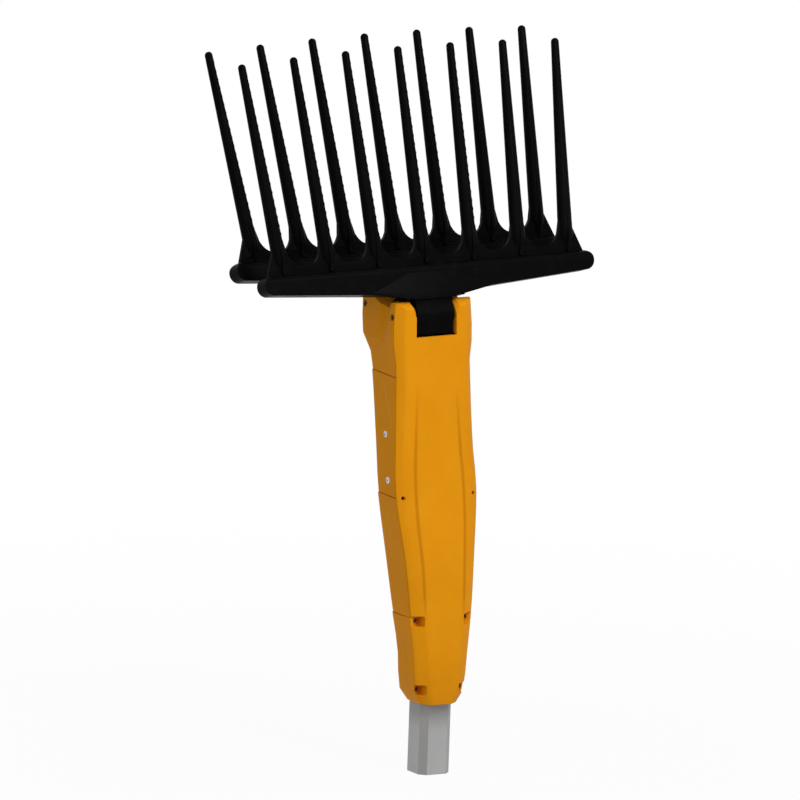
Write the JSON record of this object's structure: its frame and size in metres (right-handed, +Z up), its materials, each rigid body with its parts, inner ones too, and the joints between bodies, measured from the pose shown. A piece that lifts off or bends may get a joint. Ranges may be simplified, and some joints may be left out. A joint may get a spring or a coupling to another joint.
{
  "type": "electric olive harvester head",
  "caption": "Electric olive harvester head: two black combs that clap against each other on a fork, driven by a geared motor in a slim yellow housing clamped to a square pole.",
  "frame": {"origin": "centre of the pole tube's lower end", "axes": "+Z up the pole, X along the combs, -Y towards the front face of the housing"},
  "size_m": [0.378, 0.2089, 0.7193],
  "materials": {
    "yellow_plastic": "moulded, satin",
    "black_plastic": "moulded, satin",
    "black_trim": "moulded",
    "pole_aluminium": "extruded, matt anodised",
    "dark_steel": "black oxide",
    "steel": "machined",
    "cast_alloy": "cast",
    "motor_steel": "zinc plated",
    "ferrite": "sintered",
    "bronze": "machined"
  },
  "bodies": {
    "housing": {"pole_tube": "pole_aluminium", "front_shell": "yellow_plastic", "rear_clamp": "yellow_plastic", "lower_rear_cover": "yellow_plastic", "upper_rear_cover": "yellow_plastic", "fork_housing": "yellow_plastic", "top_guard": "black_trim", "clamp_screws": "dark_steel", "side_screws": "steel", "front_pivot_pin": "dark_steel", "rear_pivot_pin": "dark_steel", "pivot_clips": "dark_steel", "motor_can": "motor_steel", "motor_magnets": "ferrite", "motor_end_cap": "black_trim", "motor_terminals": "bronze", "ring_gear": "cast_alloy", "gearbox_cover": "cast_alloy", "gearbox_screws": "steel", "output_bearing": "steel", "motor_plate": "steel", "bearing_plate": "cast_alloy", "upper_bearing": "steel"},
    "front_comb_set": {"front_comb": "black_plastic", "front_bushes": "bronze", "front_rocker": "steel"},
    "rear_comb_set": {"rear_comb": "black_plastic", "rear_bushes": "bronze", "rear_sector": "steel"},
    "crank": {"planet_carrier": "steel", "planet_pins": "steel", "crank_disc": "steel", "crank_bearing": "steel"},
    "rotor": {"motor_rotor": "steel", "sun_gear": "steel"},
    "planet_a": {"planet_1": "bronze"},
    "planet_b": {"planet_2": "bronze"},
    "planet_c": {"planet_3": "bronze"}
  },
  "joints": [
    {"name": "front_comb_swing", "type": "hinge", "parent": "housing", "child": "front_comb_set", "pos_m": [0, 0.026, 0.462], "axis": [1, 0, 0], "range_deg": [-5, 5]},
    {"name": "rear_comb_swing", "type": "hinge", "parent": "housing", "child": "rear_comb_set", "pos_m": [0, 0.0805, 0.466], "axis": [1, 0, 0], "range_deg": [-5, 5]},
    {"name": "crank_turn", "type": "hinge", "parent": "housing", "child": "crank", "pos_m": [0, 0.03405, 0.35772], "axis": [0, 0.1736, 0.9848], "continuous": true},
    {"name": "rotor_turn", "type": "hinge", "parent": "housing", "child": "rotor", "pos_m": [0, 0.02189, 0.28878], "axis": [0, 0.1736, 0.9848], "continuous": true},
    {"name": "planet_a_turn", "type": "hinge", "parent": "crank", "child": "planet_a", "pos_m": [0.01125, 0.03075, 0.33901], "axis": [0, 0.1736, 0.9848], "continuous": true},
    {"name": "planet_b_turn", "type": "hinge", "parent": "crank", "child": "planet_b", "pos_m": [-0.00562, 0.04034, 0.33732], "axis": [0, 0.1736, 0.9848], "continuous": true},
    {"name": "planet_c_turn", "type": "hinge", "parent": "crank", "child": "planet_c", "pos_m": [-0.00562, 0.02115, 0.3407], "axis": [0, 0.1736, 0.9848], "continuous": true}
  ],
  "couplings": [
    {"joint": "rear_comb_swing", "follows": "front_comb_swing", "ratio": -1},
    {"joint": "rotor_turn", "follows": "crank_turn", "ratio": 5},
    {"joint": "planet_a_turn", "follows": "crank_turn", "ratio": -2.6667},
    {"joint": "planet_b_turn", "follows": "crank_turn", "ratio": -2.6667},
    {"joint": "planet_c_turn", "follows": "crank_turn", "ratio": -2.6667}
  ]
}
